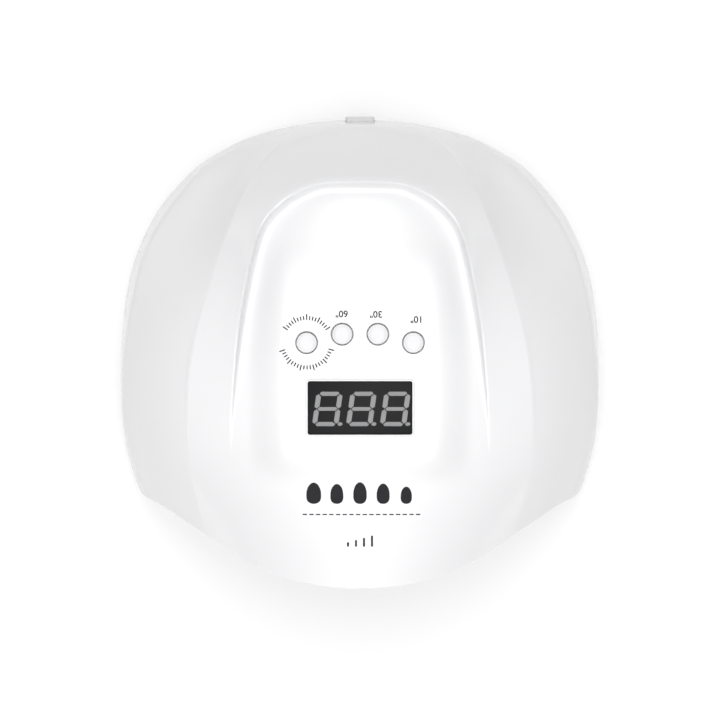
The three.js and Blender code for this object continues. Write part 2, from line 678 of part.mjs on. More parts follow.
function wire(name, material, points, radius = 0.7) {
  const path = new THREE.CatmullRomCurve3(points.map((p) => new THREE.Vector3(...p)));
  const section = new THREE.Shape().absarc(0, 0, radius, 0, 2 * Math.PI);
  const geometry = new THREE.ExtrudeGeometry(section, { steps: 24, extrudePath: path, curveSegments: 6 });
  add(name, geometry, material);
}

for (const [name, side, material] of [["red", 1, materials.red], ["black", -1, materials.chip]]) {
  const x = 2.4 * side;
  wire(`power_wire_${name}`, material, [
    [x, 95, 14], [x, 93.6, 18], [x, 92, 28], [x, 87, 44], [x, 77, 58], [x, 62, 64.5], [x, 40, 66.5], [x, 26, 67.8],
    [x, 17.2, 69.6],
  ]);
  wire(`led_wire_${name}`, material, [
    [x - 24, -12.7, 64.9], [x - 24, -12.9, 64], [x - 24, -14.2, 62.2], [x - 24, -17.5, 61.5],
  ]);
}

export default lamp;
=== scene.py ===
# A UV curing lamp for nails, seen from straight above on a pale studio floor.
# Shapes are worked out in millimetres, as in the CAD, and made in metres.
import math

import bmesh
import bpy
import numpy as np
from mathutils import Euler, Matrix, Vector
from mathutils.bvhtree import BVHTree


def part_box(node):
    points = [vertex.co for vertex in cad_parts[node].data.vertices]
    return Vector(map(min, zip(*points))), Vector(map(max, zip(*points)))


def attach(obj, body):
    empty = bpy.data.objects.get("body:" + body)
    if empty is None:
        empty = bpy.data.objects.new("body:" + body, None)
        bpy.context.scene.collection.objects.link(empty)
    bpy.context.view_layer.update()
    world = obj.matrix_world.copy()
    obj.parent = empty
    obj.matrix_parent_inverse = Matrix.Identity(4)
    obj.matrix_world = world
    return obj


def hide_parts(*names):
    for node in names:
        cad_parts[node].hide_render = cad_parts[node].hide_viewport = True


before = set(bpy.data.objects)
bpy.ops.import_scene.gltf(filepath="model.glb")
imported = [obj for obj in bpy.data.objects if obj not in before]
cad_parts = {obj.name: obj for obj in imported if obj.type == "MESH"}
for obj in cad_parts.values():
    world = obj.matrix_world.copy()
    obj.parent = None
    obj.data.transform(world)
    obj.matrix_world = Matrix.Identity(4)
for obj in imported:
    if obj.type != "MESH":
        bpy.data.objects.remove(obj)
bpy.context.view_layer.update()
MM = 0.001
scene = bpy.context.scene

# ---------------------------------------------------------------- housing lines, as in the CAD
WALL = 2.6
EDGE = 0.45
RIM_Z = 3.0
CENTRE = [(0, 106.7, 3), (0, 105, 22), (0, 101.3, 40), (0, 91.5, 56.5), (0, 76.3, 79), (0, 61, 85.6),
          (0, 38, 88.3), (0, 8, 87), (0, -28, 83), (0, -68, 75), (0, -107.5, 61)]
RIDGE = [(25, 105, 3), (31, 101.3, 21), (39.5, 92.5, 39), (47, 82, 52.5), (53.5, 69.5, 62.5),
         (60, 53.5, 69.5), (67, 33, 73.3), (74, 8, 73.6), (78, -22, 70), (77.2, -52, 61.5), (70, -83.3, 45.5)]
SHOULDER = [(60.2, 94.2, 3), (66.2, 89.4, 11.5), (73.6, 83, 19.5), (82, 72.6, 25.5), (90, 61.4, 29),
            (96.8, 49.4, 31), (102.3, 33, 32), (106.8, 10, 31), (109, -16, 27), (107.6, -40, 19.5),
            (102.6, -60.5, 8)]
OUTLINE = [(60.2, 94.2, 3), (67.3, 90.2, 3), (75.8, 84.4, 3), (85, 75, 3), (93.3, 64.3, 3), (100.2, 51, 3),
           (105.9, 34, 3), (109.2, 10.5, 3), (110, -16, 3), (108.2, -40.2, 3), (103, -60.3, 3)]
BACK_EDGE = [(25, 105, 3), (35, 103, 3), (44, 100.7, 3), (52.5, 97.9, 3), (60.2, 94.2, 3)]
MOUTH_EDGE = [(70, -83.3, 45.5), (79, -77.7, 38.5), (87, -72.6, 30.5), (94, -68.8, 22), (99.4, -66, 14.5),
              (102.6, -60.5, 8)]
CREST = [(0, 76.3), (11, 76.1), (21, 74.7), (31, 70), (35.7, 66.5), (40, 62.3), (44, 56.7), (47, 49.3),
         (49.8, 37.4), (52.8, 20.7), (55.2, 3), (57.7, -27), (58, -60), (51.8, -94.9)]
CREST_BEND = 3
CROWN_POWER = 2.1
MOUTH_POWER = 2.2
COLLAR_FRONT = -48
COLLAR_RISE = 4.6
COLLAR_SPREAD = 10
PANEL_SINK = 3.3
SPINE_TOP = 0.6
PANEL_TILT = math.radians(4.2)
PANEL_CENTRE = (0, -12, 83.75)
BUTTONS = {"99s": (-23.9, 15.9), "60s": (-8, 19.7), "30s": (8, 19.7), "10s": (23.9, 15.9)}
BUTTON_HOLE_R = 5.05
DISPLAY_Y = -13.4
WINDOW = (46.4, 23.6)
BEZEL = (49.6, 26.8)
LINER_SCALE = (0.855, 0.87)
LINER_SHIFT = -1.5
LINER_CEILING = 57.5
LINER_WALL = 1.8
FLANGE_BOTTOM = 4.3
FLANGE_TOP = 6.3


def smoothstep(t):
    c = np.clip(t, 0, 1)
    return c * c * (3 - 2 * c)


def mix(a, b, t):
    return a + (b - a) * t


class Curve:
    """The smoothest curve through evenly spaced stations; call it with numbers from 0 to 1."""

    def __init__(self, points, mirrored=False):
        p = np.array(points, float)
        if mirrored:
            left = p[:0:-1].copy()
            left[:, 0] *= -1
            p = np.vstack([left, p])
        n = len(p)
        a = np.eye(n)
        b = np.zeros_like(p)
        for i in range(1, n - 1):
            a[i, i - 1:i + 2] = 1, 4, 1
            b[i] = 6 * (p[i + 1] - 2 * p[i] + p[i - 1])
        self.points = p
        self.bend = np.linalg.solve(a, b)
        self.mirrored = mirrored

    def __call__(self, t):
        t = np.clip(np.asarray(t, float), 0, 1)
        if self.mirrored:
            t = 0.5 + t / 2
        last = len(self.points) - 1
        i = np.minimum((t * last).astype(int), last - 1)
        f = (t * last - i)[..., None]
        g = 1 - f
        p, m = self.points, self.bend
        return g * p[i] + f * p[i + 1] + ((g**3 - g) * m[i] + (f**3 - f) * m[i + 1]) / 6


centre, ridge, shoulder, outline = Curve(CENTRE), Curve(RIDGE), Curve(SHOULDER), Curve(OUTLINE)
back_edge, mouth_edge, crest_line = Curve(BACK_EDGE), Curve(MOUTH_EDGE), Curve(CREST, mirrored=True)


def crown_point(s, w):
    c, r = centre(s), ridge(s)
    bulge = mix(2, MOUTH_POWER, smoothstep((s - 0.6) / 0.4))
    y = mix(c[..., 1], r[..., 1], w**bulge)
    z = mix(c[..., 2], r[..., 2], w**CROWN_POWER)
    return np.stack([w * r[..., 0], y, z], -1)


def crown_coords(x, y):
    """The crown's (s, w) above points in plan."""
    low, high = np.zeros_like(x), np.ones_like(x)
    for _ in range(40):
        s = (low + high) / 2
        behind = crown_point(s, x / ridge(s)[..., 0])[..., 1] > y
        low, high = np.where(behind, s, low), np.where(behind, high, s)
    return s, x / ridge(s)[..., 0]


def wing_point(s, t):
    t1 = t[..., None]
    point = mix(ridge(s), shoulder(s), t1)
    zero, one = np.zeros_like(s), np.ones_like(s)
    back = back_edge(t) - mix(ridge(zero), shoulder(zero), t1)
    mouth = mouth_edge(t) - mix(ridge(one), shoulder(one), t1)
    point = point + ((1 - s) ** 4)[..., None] * back + (s**4)[..., None] * mouth
    scoop = 8 * smoothstep((0.75 - s) / 0.5) * 6.75 * t * (1 - t) ** 2
    swell = 3.5 * smoothstep((s - 0.45) / 0.3) * 4 * t * (1 - t)
    point[..., 2] += np.sin(np.pi * s) * (swell - scoop)
    return point


def side_point(s, t):
    return mix(shoulder(s), outline(s), t[..., None])


def collar_strength(y):
    return COLLAR_RISE * smoothstep((y - COLLAR_FRONT) / (62 - COLLAR_FRONT))


def panel_depth(y):
    return PANEL_SINK * smoothstep((y - COLLAR_FRONT) / (40 - COLLAR_FRONT))


def step_width(y):
    return mix(mix(1.2, 3.6, smoothstep((y + 48) / 96)), 5.2, smoothstep((y - 50) / 22))


def sink_panel(p):
    x, y, z = p[..., 0], p[..., 1], p[..., 2]
    flat = smoothstep((50 - np.abs(x)) / 20) * smoothstep((52 - y) / 36) * smoothstep((y + 60) / 18)
    plane = PANEL_CENTRE[2] + (y - PANEL_CENTRE[1]) * math.tan(PANEL_TILT)
    return np.stack([x, y, mix(z - panel_depth(y), plane, flat)], -1)


def crown_lines(s, w, outside, step, inside, collar=True):
    """Lines of the crown from its outer edge in to the centre line, one for each s and w."""
    last = len(CREST) - 1
    turn = np.where(s > 0, CREST_BEND + s * (last - CREST_BEND), CREST_BEND * w) / last
    crest = crest_line(turn)
    heading = crest_line(turn + 0.002) - crest_line(turn - 0.002)
    heading /= np.linalg.norm(heading, axis=-1, keepdims=True)
    foot = crest + np.stack([heading[:, 1], -heading[:, 0]], -1) * step_width(crest[:, 1])[:, None]
    foot[:, 0] = np.maximum(foot[:, 0], 0)
    crest_s, crest_w = crown_coords(crest[:, 0], crest[:, 1])
    foot_s, foot_w = crown_coords(foot[:, 0], foot[:, 1])
    at_mouth = s >= 1
    crest_s, foot_s = np.where(at_mouth, 1, crest_s), np.where(at_mouth, 1, foot_s)
    outer_w = np.where(s > 0, 1.0, w)
    rise = collar_strength(crest[:, 1]) * (1 if collar else 0)
    rings = []
    for k in outside:
        p = crown_point(mix(s, crest_s, k), mix(outer_w, crest_w, k))
        away = np.hypot(p[:, 0] - crest[:, 0], p[:, 1] - crest[:, 1])
        p[:, 2] += rise * np.exp(-away / COLLAR_SPREAD) * (1 - (1 - k) ** 2)
        rings.append(p)
    bottom = crown_point(foot_s, foot_w)
    sunk = sink_panel(bottom)[:, 2] - bottom[:, 2]
    for k in step:
        p = crown_point(mix(crest_s, foot_s, k), mix(crest_w, foot_w, k))
        p[:, 2] += mix(rise, sunk, k * (2 - k))
        rings.append(p)
    spine_s = mix(SPINE_TOP, 1, s * s)
    for k in inside:
        rings.append(sink_panel(crown_point(mix(foot_s, spine_s, k), mix(foot_w, 0, k))))
    return np.stack(rings, 1)


def eased(count, ends=0.6):
    """Numbers from 0 to 1, closer together at both ends."""
    k = np.linspace(0, 1, count)
    return mix(k, 0.5 - 0.5 * np.cos(np.pi * k), ends)


def round_off(lines, at, reach, passes):
    """Rounds a crease that crosses every line at index `at`, over `reach` points each side."""
    index = np.arange(lines.shape[1])
    weight = np.clip(1 - np.abs(index - at) / reach, 0, 1)[None, :, None] * 0.9
    weight[:, 0] = weight[:, -1] = 0
    for _ in range(passes):
        mean = lines.copy()
        mean[:, 1:-1] = (lines[:, :-2] + lines[:, 2:]) / 2
        lines += (mean - lines) * weight
    return lines


# ---------------------------------------------------------------- meshes
def new_object(name, mesh):
    obj = bpy.data.objects.new(name, mesh)
    scene.collection.objects.link(obj)
    return obj


def from_bmesh(name, bm, sharp=35):
    bm.normal_update()
    mesh = bpy.data.meshes.new(name)
    bm.to_mesh(mesh)
    bm.free()
    mesh.shade_smooth()
    mesh.set_sharp_from_angle(angle=math.radians(sharp))
    return new_object(name, mesh)


def grid_mesh(patches, twins):
    """Quads between neighbouring lines of points, mirrored and merged: the points, the
    same points of the twin surface, and the faces."""
    points, twin_points, faces, start = [], [], [], 0
    for lines, twin in zip(patches, twins):
        rows, cols, _ = lines.shape
        ids = np.arange(rows * cols).reshape(rows, cols) + start
        quads = np.stack([ids[:-1, :-1], ids[:-1, 1:], ids[1:, 1:], ids[1:, :-1]], -1).reshape(-1, 4)
        for side in (1, -1):
            points.append(lines.reshape(-1, 3) * (side, 1, 1))
            twin_points.append(twin.reshape(-1, 3) * (side, 1, 1))
        faces.append(quads)
        faces.append(quads[:, ::-1] + rows * cols)
        start += 2 * rows * cols
    points, twin_points, faces = np.vstack(points), np.vstack(twin_points), np.vstack(faces)
    keys = np.round(points * 500).astype(np.int64)
    _, first, inverse = np.unique(keys, axis=0, return_index=True, return_inverse=True)
    faces = inverse.reshape(-1)[faces]
    clean = []
    for face in faces.tolist():
        corners = [v for i, v in enumerate(face) if v != face[i - 1]]
        if len(set(corners)) > 2:
            clean.append(corners)
    return points[first], twin_points[first], clean


def vertex_normals(points, faces):
    normals = np.zeros_like(points)
    for size in (3, 4):
        f = np.array([face for face in faces if len(face) == size])
        if not len(f):
            continue
        n = np.cross(points[f[:, 2]] - points[f[:, 0]], points[f[:, -1]] - points[f[:, 1]])
        for corner in range(size):
            np.add.at(normals, f[:, corner], n)
    return normals / np.maximum(np.linalg.norm(normals, axis=1, keepdims=True), 1e-12)


def thickened(points, faces, inner, bulge, floor, segments=4):
    """The closed shell between a surface and its inner copy, with bull-nosed edges. Its
    edges are drawn in first to make room for the nose, but not those below `floor`."""
    count = len(points)
    normals = vertex_normals(points, faces)
    edges = {}
    for face in faces:
        for a, b in zip(face, face[1:] + face[:1]):
            edges[(a, b)] = True
    border = [(a, b) for a, b in edges if (b, a) not in edges]
    outward = np.zeros_like(points)
    for a, b in border:
        side = np.cross(points[b] - points[a], normals[a] + normals[b])
        outward[a] += side
        outward[b] += side
    rim = sorted({v for edge in border for v in edge})
    outward[rim] /= np.linalg.norm(outward[rim], axis=1, keepdims=True)
    drawn = outward * bulge * (points[:, 2:] > floor)
    points, inner = points - drawn, inner - drawn
    all_points = [points, inner]
    ids = {v: [v] for v in rim}
    for k in range(1, segments + 1):
        u = k / (segments + 1)
        ring = mix(points[rim], inner[rim], 0.5 - 0.5 * math.cos(math.pi * u))
        nose = bulge[rim] if isinstance(bulge, np.ndarray) else bulge
        all_points.append(ring + outward[rim] * nose * math.sin(math.pi * u))
        for i, v in enumerate(rim):
            ids[v].append(2 * count + (k - 1) * len(rim) + i)
    for v in rim:
        ids[v].append(v + count)
    out = list(faces) + [[v + count for v in reversed(face)] for face in faces]
    for a, b in border:
        for k in range(segments + 1):
            out.append([ids[b][k], ids[a][k], ids[a][k + 1], ids[b][k + 1]])
    return np.vstack(all_points), out


def mesh_object(name, points, faces, sharp=35):
    mesh = bpy.data.meshes.new(name)
    mesh.from_pydata((np.asarray(points) * MM).tolist(), [], faces)
    mesh.validate()
    mesh.shade_smooth()
    mesh.set_sharp_from_angle(angle=math.radians(sharp))
    return new_object(name, mesh)


def lathe(profile, segments=96, axis_frame=Matrix(), sharp=35, name="turned"):
    """A turned piece: profile of (radius, height) in mm, starting and ending on the axis."""
    bm = bmesh.new()
    rings = []
    for r, z in profile:
        if r < 1e-6:
            rings.append([bm.verts.new((0, 0, z * MM))])
            continue
        turn = [2 * math.pi * k / segments for k in range(segments)]
        rings.append([bm.verts.new((r * MM * math.cos(a), r * MM * math.sin(a), z * MM)) for a in turn])
    for low, high in zip(rings, rings[1:]):
        for k in range(segments):
            n = (k + 1) % segments
            corners = [low[k % len(low)], low[n % len(low)], high[n % len(high)], high[k % len(high)]]
            unique = list(dict.fromkeys(corners))
            if len(unique) > 2:
                bm.faces.new(unique)
    bmesh.ops.recalc_face_normals(bm, faces=bm.faces)
    bmesh.ops.transform(bm, matrix=axis_frame, verts=bm.verts)
    return from_bmesh(name, bm, sharp)


def arc(cx, cz, r, a0, a1, n=6):
    """Points of an arc in a profile, angles in degrees."""
    turns = [math.radians(mix(a0, a1, k / n)) for k in range(n + 1)]
    return [(cx + r * math.cos(a), cz + r * math.sin(a)) for a in turns]


def rounded_rect(width, depth, radius, n=8):
    points = []
    for k, (sx, sy) in enumerate([(1, 1), (-1, 1), (-1, -1), (1, -1)]):
        cx, cy = sx * (width / 2 - radius), sy * (depth / 2 - radius)
        for j in range(n + 1):
            a = math.radians(90 * k + 90 * j / n)
            points.append((cx + radius * math.cos(a), cy + radius * math.sin(a)))
    return points


def loft(name, sections, matrix=Matrix(), closed=False, sharp=35):
    """A solid through loops of equal count; caps its ends, or joins last to first if closed."""
    bm = bmesh.new()
    loops = [[bm.verts.new([c * MM for c in p]) for p in section] for section in sections]
    pairs = list(zip(loops, loops[1:]))
    if closed:
        pairs.append((loops[-1], loops[0]))
    for low, high in pairs:
        n = len(low)
        for k in range(n):
            bm.faces.new((low[k], low[(k + 1) % n], high[(k + 1) % n], high[k]))
    if not closed:
        bm.faces.new(loops[0][::-1])
        bm.faces.new(loops[-1])
    bmesh.ops.recalc_face_normals(bm, faces=bm.faces)
    bmesh.ops.transform(bm, matrix=matrix, verts=bm.verts)
    return from_bmesh(name, bm, sharp)


def at_height(points, z):
    return [(x, y, z) for x, y in points]


def slab(name, width, depth, z0, z1, corner, edge, matrix=Matrix(), n=8):
    """A rounded rectangular slab with softened top and bottom edges."""
    sections = []
    for lift, inset in ((0, edge), (0.3 * edge, 0.3 * edge), (edge, 0)):
        sections.append(at_height(rounded_rect(width - 2 * inset, depth - 2 * inset, corner, n), z0 + lift))
    for lift, inset in ((edge, 0), (0.3 * edge, 0.3 * edge), (0, edge)):
        sections.append(at_height(rounded_rect(width - 2 * inset, depth - 2 * inset, corner, n), z1 - lift))
    return loft(name, sections, matrix)


def join(name, objects):
    bm = bmesh.new()
    for obj in objects:
        bm.from_mesh(obj.data)
        bpy.data.objects.remove(obj)
    return from_bmesh(name, bm)


def cut(obj, cutters, solver="MANIFOLD"):
    for cutter in cutters:
        mod = obj.modifiers.new("cut", "BOOLEAN")
        mod.object, mod.operation, mod.solver = cutter, "DIFFERENCE", solver
        mesh = bpy.data.meshes.new_from_object(obj.evaluated_get(bpy.context.evaluated_depsgraph_get()))
        obj.modifiers.clear()
        obj.data = mesh
        bpy.data.objects.remove(cutter)
    return obj


PANEL = Matrix.Translation(Vector(PANEL_CENTRE) * MM) @ Matrix.Rotation(PANEL_TILT, 4, "X")


def on_panel(x, y, z=0):
    return PANEL @ Matrix.Translation((x * MM, y * MM, z * MM))


# ---------------------------------------------------------------- materials
def principled(name, color, rough, metal=0.0, coat=0.0, coat_rough=0.05, ior=1.46, transmission=0.0,
               tone=0.03, tone_scale=35.0, rough_spread=0.05, grain=900.0, grain_depth=0.00001, layer=None):
    """Moulded or metal surface: soft tone variation, uneven gloss and a fine surface grain."""
    mat = bpy.data.materials.new(name)
    mat.use_nodes = True
    nodes, links = mat.node_tree.nodes, mat.node_tree.links
    shader = nodes["Principled BSDF"]
    shader.inputs["Metallic"].default_value = metal
    shader.inputs["IOR"].default_value = ior
    shader.inputs["Coat Weight"].default_value = coat
    shader.inputs["Coat Roughness"].default_value = coat_rough
    shader.inputs["Transmission Weight"].default_value = transmission
    where = nodes.new("ShaderNodeTexCoord")
    cloud = nodes.new("ShaderNodeTexNoise")
    cloud.inputs["Scale"].default_value = tone_scale
    cloud.inputs["Detail"].default_value = 3
    links.new(where.outputs["Object"], cloud.inputs["Vector"])
    tint = nodes.new("ShaderNodeMix")
    tint.data_type = "RGBA"
    tint.inputs["A"].default_value = (*[c * (1 - tone) for c in color], 1)
    tint.inputs["B"].default_value = (*[min(1, c * (1 + tone)) for c in color], 1)
    links.new(cloud.outputs["Fac"], tint.inputs["Factor"])
    out_color = tint.outputs["Result"]
    if layer:
        out_color = layer(nodes, links, where, out_color)
    links.new(out_color, shader.inputs["Base Color"])
    patch = nodes.new("ShaderNodeTexNoise")
    patch.inputs["Scale"].default_value = tone_scale * 4
    patch.inputs["Detail"].default_value = 5
    links.new(where.outputs["Object"], patch.inputs["Vector"])
    gloss = nodes.new("ShaderNodeMapRange")
    gloss.inputs["To Min"].default_value = max(0.02, rough - rough_spread)
    gloss.inputs["To Max"].default_value = rough + rough_spread
    links.new(patch.outputs["Fac"], gloss.inputs["Value"])
    links.new(gloss.outputs["Result"], shader.inputs["Roughness"])
    fine = nodes.new("ShaderNodeTexNoise")
    fine.inputs["Scale"].default_value = grain
    fine.inputs["Detail"].default_value = 2
    links.new(where.outputs["Object"], fine.inputs["Vector"])
    bump = nodes.new("ShaderNodeBump")
    bump.inputs["Strength"].default_value = 0.5
    bump.inputs["Distance"].default_value = grain_depth
    links.new(fine.outputs["Fac"], bump.inputs["Height"])
    links.new(bump.outputs["Normal"], shader.inputs["Normal"])
    return mat


def segment_dots(nodes, links, where, color):
    """A fine dot screen over the display's unlit segments."""
    dots = nodes.new("ShaderNodeTexVoronoi")
    dots.inputs["Scale"].default_value = 1900
    dots.inputs["Randomness"].default_value = 0.15
    links.new(where.outputs["Object"], dots.inputs["Vector"])
    ramp = nodes.new("ShaderNodeMapRange")
    ramp.inputs["From Max"].default_value = 0.6
    ramp.inputs["To Min"].default_value = 1.12
    ramp.inputs["To Max"].default_value = 0.86
    links.new(dots.outputs["Distance"], ramp.inputs["Value"])
    shade = nodes.new("ShaderNodeMix")
    shade.data_type = "RGBA"
    shade.blend_type = "MULTIPLY"
    shade.inputs["Factor"].default_value = 1
    links.new(color, shade.inputs["A"])
    links.new(ramp.outputs["Result"], shade.inputs["B"])
    return shade.outputs["Result"]


M = {
    "gloss": principled("white_gloss_abs", (0.79, 0.79, 0.8), 0.2, coat=0.35, coat_rough=0.06, tone=0.012,
                        grain_depth=0.000004),
    "button": principled("button_abs", (0.68, 0.68, 0.69), 0.24, coat=0.3, tone=0.02),
    "bezel": principled("bezel_abs", (0.87, 0.87, 0.88), 0.22, coat=0.3, tone=0.012),
    "satin": principled("white_satin_abs", (0.8, 0.8, 0.81), 0.42, tone=0.02, grain=1500,
                        grain_depth=0.00002),
    "window": principled("window_acrylic", (0.006, 0.006, 0.007), 0.2, ior=1.18, tone=0.2, tone_scale=60),
    "segment": principled("segment_diffuser", (0.27, 0.27, 0.275), 0.5, tone=0.03, layer=segment_dots),
    "ink": principled("printed_ink", (0.025, 0.025, 0.028), 0.5, ior=1.15, tone=0.2, tone_scale=400),
    "gap": principled("shadow_gap", (0.05, 0.05, 0.052), 0.6, tone=0.1),
    "inlet": principled("socket_plastic", (0.64, 0.64, 0.65), 0.38, tone=0.03, grain=1400,
                        grain_depth=0.00002),
    "mirror": principled("mirror_film", (0.86, 0.87, 0.89), 0.1, metal=1, tone=0.02, rough_spread=0.04),
    "sheet": principled("polished_steel", (0.78, 0.79, 0.8), 0.14, metal=1, tone=0.03, rough_spread=0.06),
    "led": principled("clear_epoxy", (0.86, 0.87, 0.93), 0.06, transmission=0.85, ior=1.5, tone=0.02),
    "die": principled("emitter_die", (0.62, 0.52, 0.1), 0.4, tone=0.15, tone_scale=900),
    "led_board": principled("white_solder_mask", (0.8, 0.8, 0.78), 0.4, tone=0.03, grain=1800),
    "pcb": principled("green_solder_mask", (0.03, 0.16, 0.07), 0.38, tone=0.15, tone_scale=160, grain=1200),
    "chip": principled("black_epoxy", (0.025, 0.025, 0.028), 0.5, tone=0.2, grain=2600, grain_depth=0.00003),
    "cream": principled("cream_nylon", (0.66, 0.6, 0.46), 0.42, tone=0.04),
    "steel": principled("plated_steel", (0.6, 0.61, 0.62), 0.26, metal=1, tone=0.05, rough_spread=0.08),
    "nickel": principled("bright_nickel", (0.72, 0.7, 0.66), 0.16, metal=1, tone=0.04),
    "rubber": principled("grey_rubber", (0.2, 0.2, 0.205), 0.75, tone=0.08, grain=1800, grain_depth=0.00005),
    "red": principled("red_insulation", (0.5, 0.03, 0.02), 0.42, tone=0.05),
    "black": principled("black_insulation", (0.02, 0.02, 0.02), 0.42, tone=0.1),
    "lens": principled("sensor_lens", (0.02, 0.01, 0.02), 0.08, coat=0.5, tone=0.1),
}


def dress(obj, material, body, slot, *replaced):
    obj.data.materials.clear()
    obj.data.materials.append(M[material])
    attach(obj, body)
    if replaced:
        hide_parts(*replaced)
    return obj


# ---------------------------------------------------------------- top housing
side_s = np.concatenate([np.linspace(0, 0.06, 7)[:-1], np.linspace(0.06, 0.985, 108), [0.993, 1.0]])
back_w = np.linspace(0, 1, 28)[:-1]
crown_s = np.concatenate([np.zeros(len(back_w)), side_s])
crown_w = np.concatenate([back_w, np.ones(len(side_s))])
OUTSIDE = eased(30)
STEP = eased(13, 0.4)[1:]
INSIDE = np.linspace(0, 1, 26)[1:] ** 1.2


def housing_patches(collar):
    crown = crown_lines(crown_s, crown_w, OUTSIDE, STEP, INSIDE, collar)
    sides = side_s[:, None] * np.ones((1, 24))
    wing_t = (1 - eased(24))[None, :] * np.ones((len(side_s), 1))
    wing = wing_point(sides, wing_t)
    side_t = (1 - eased(9, 0.3))[None, :] * np.ones((len(side_s), 1))
    side = side_point(sides[:, :9], side_t)
    lines = np.concatenate([side, wing[:, 1:], crown[len(back_w):, 1:]], 1)
    ridge_at = side.shape[1] + wing.shape[1] - 2
    crest_at = ridge_at + len(OUTSIDE) - 1
    rounded = round_off(lines.copy(), side.shape[1] - 1, 3, 2)
    rounded = round_off(rounded, ridge_at, 2, 2)
    if collar:
        rounded = round_off(rounded, crest_at, 3, 3)
        crown[:len(back_w)] = round_off(crown[:len(back_w)], len(OUTSIDE) - 1, 3, 3)
    rounded[0, :ridge_at + 3], rounded[-1] = lines[0, :ridge_at + 3], lines[-1]
    crown_part = np.concatenate([crown[:len(back_w)], rounded[:, ridge_at:]], 0)
    high = crown_part[..., 2]
    crown_part[..., 2] = np.where(high > 86, 86.55 - 0.55 * np.exp((86 - high) / 0.55), high)
    return [crown_part, rounded[:, :ridge_at + 1]]


points, plain, faces = grid_mesh(housing_patches(True), housing_patches(False))


def housing_shell():
    plain_normals = vertex_normals(plain, faces)
    on_rim = plain[:, 2] < RIM_Z + 0.01
    plain_normals[on_rim, 2] = 0
    plain_normals /= np.linalg.norm(plain_normals, axis=1, keepdims=True)
    inner = plain - plain_normals * WALL
    outer = points.copy()
    for side in (outer, inner):
        side[:, 2] += EDGE * np.clip(1 - (side[:, 2] - RIM_Z) / 5, 0, 1)
    shell, shell_faces = thickened(outer, faces, inner, EDGE, RIM_Z + 2 * EDGE)
    return mesh_object("housing", shell, shell_faces)


def hole_cutter(x, y):
    """A button hole with a small rounded lip."""
    lip = 0.38
    edge = arc(BUTTON_HOLE_R + lip, -lip, lip, 180, 94, 6)
    profile = [(0, -9), (BUTTON_HOLE_R, -9), *edge, (edge[-1][0], 6), (0, 6)]
    return lathe(profile, 96, on_panel(x, y))


INLET_LOW, INLET_HIGH = (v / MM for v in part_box("inlet_housing"))
INLET_SIZE = INLET_HIGH - INLET_LOW
INLET_MID = (INLET_HIGH + INLET_LOW) / 2
TO_SOCKET = Matrix.Translation((0, INLET_HIGH.y * MM, INLET_MID.z * MM))
FACING_BACK = TO_SOCKET @ Matrix.Rotation(-math.pi / 2, 4, "X")

housing = housing_shell()
skin = BVHTree.FromPolygons([tuple(p) for p in points], faces)
cutters = [hole_cutter(x, y) for x, y in BUTTONS.values()]
cutters.append(slab("window_cut", WINDOW[0] + 0.8, WINDOW[1] + 0.8, -12, 6, 1.2, 0.1, on_panel(0, DISPLAY_Y)))
cutters.append(slab("inlet_cut", INLET_SIZE.x + 0.6, INLET_SIZE.z + 0.6, -16, 15, 1.2, 0.1, FACING_BACK))
cut(housing, [join("cutters", cutters)])
housing.data.shade_smooth()
housing.data.set_sharp_from_angle(angle=math.radians(32))
dress(housing, "gloss", "housing", "white_gloss", "top_housing")


# ---------------------------------------------------------------- buttons
def button(label, x, y):
    rim = arc(4.15, 0.28, 0.4, 0, 90, 6)
    rim += [(3.85, 0.66), (3.55, 0.55), (3.2, 0.47), (2.6, 0.43), (1.8, 0.4), (0.9, 0.385), (0, 0.38)]
    skirt = [(0, -5.6), (1.6, -5.6), (1.6, -4.3), (6.1, -4.3), (6.1, -3.5), (4.55, -3.5)]
    cap = lathe(skirt + rim, 96, on_panel(x, y), 40)
    cap.name = f"cap_{label}"
    dress(cap, "button", f"button_{label}_body", "button_white", f"button_{label}")


for label, (x, y) in BUTTONS.items():
    button(label, x, y)


# ---------------------------------------------------------------- display
def display_bezel():
    """A low white frame that flows down into the panel round the window."""
    flank = [(0, 0.01), (0.18, 0.06), (0.4, 0.2), (0.58, 0.42), (0.76, 0.62), (1.0, 0.74), (1.25, 0.78)]
    sections = []
    for inset, z in flank:
        sections.append(at_height(rounded_rect(BEZEL[0] - 2 * inset, BEZEL[1] - 2 * inset, 2.5 - inset), z))
    inside = ((0.75, 0.78, 1.0), (0.6, 0.74, 0.9), (0.52, 0.62, 0.8), (0.5, 0.4, 0.75), (0.5, -1.4, 0.75))
    for grow, z, r in inside:
        sections.append(at_height(rounded_rect(WINDOW[0] + grow, WINDOW[1] + grow, r), z))
    sections.append(at_height(rounded_rect(WINDOW[0] + 0.78, WINDOW[1] + 0.78, 0.9), -1.4))
    sections.append(at_height(rounded_rect(WINDOW[0] + 0.78, WINDOW[1] + 0.78, 0.9), 0.0))
    frame_piece = loft("bezel_frame", sections, on_panel(0, DISPLAY_Y), closed=True, sharp=40)
    dress(frame_piece, "bezel", "housing", "white_gloss", "display_bezel")


display_bezel()
window = slab("window_pane", WINDOW[0], WINDOW[1], -1.7, -0.3, 0.5, 0.12, on_panel(0, DISPLAY_Y))
dress(window, "window", "housing", "window_black", "display_window")


def prism(points_2d, z0, z1):
    return [at_height(points_2d, z0), at_height(points_2d, z1)]


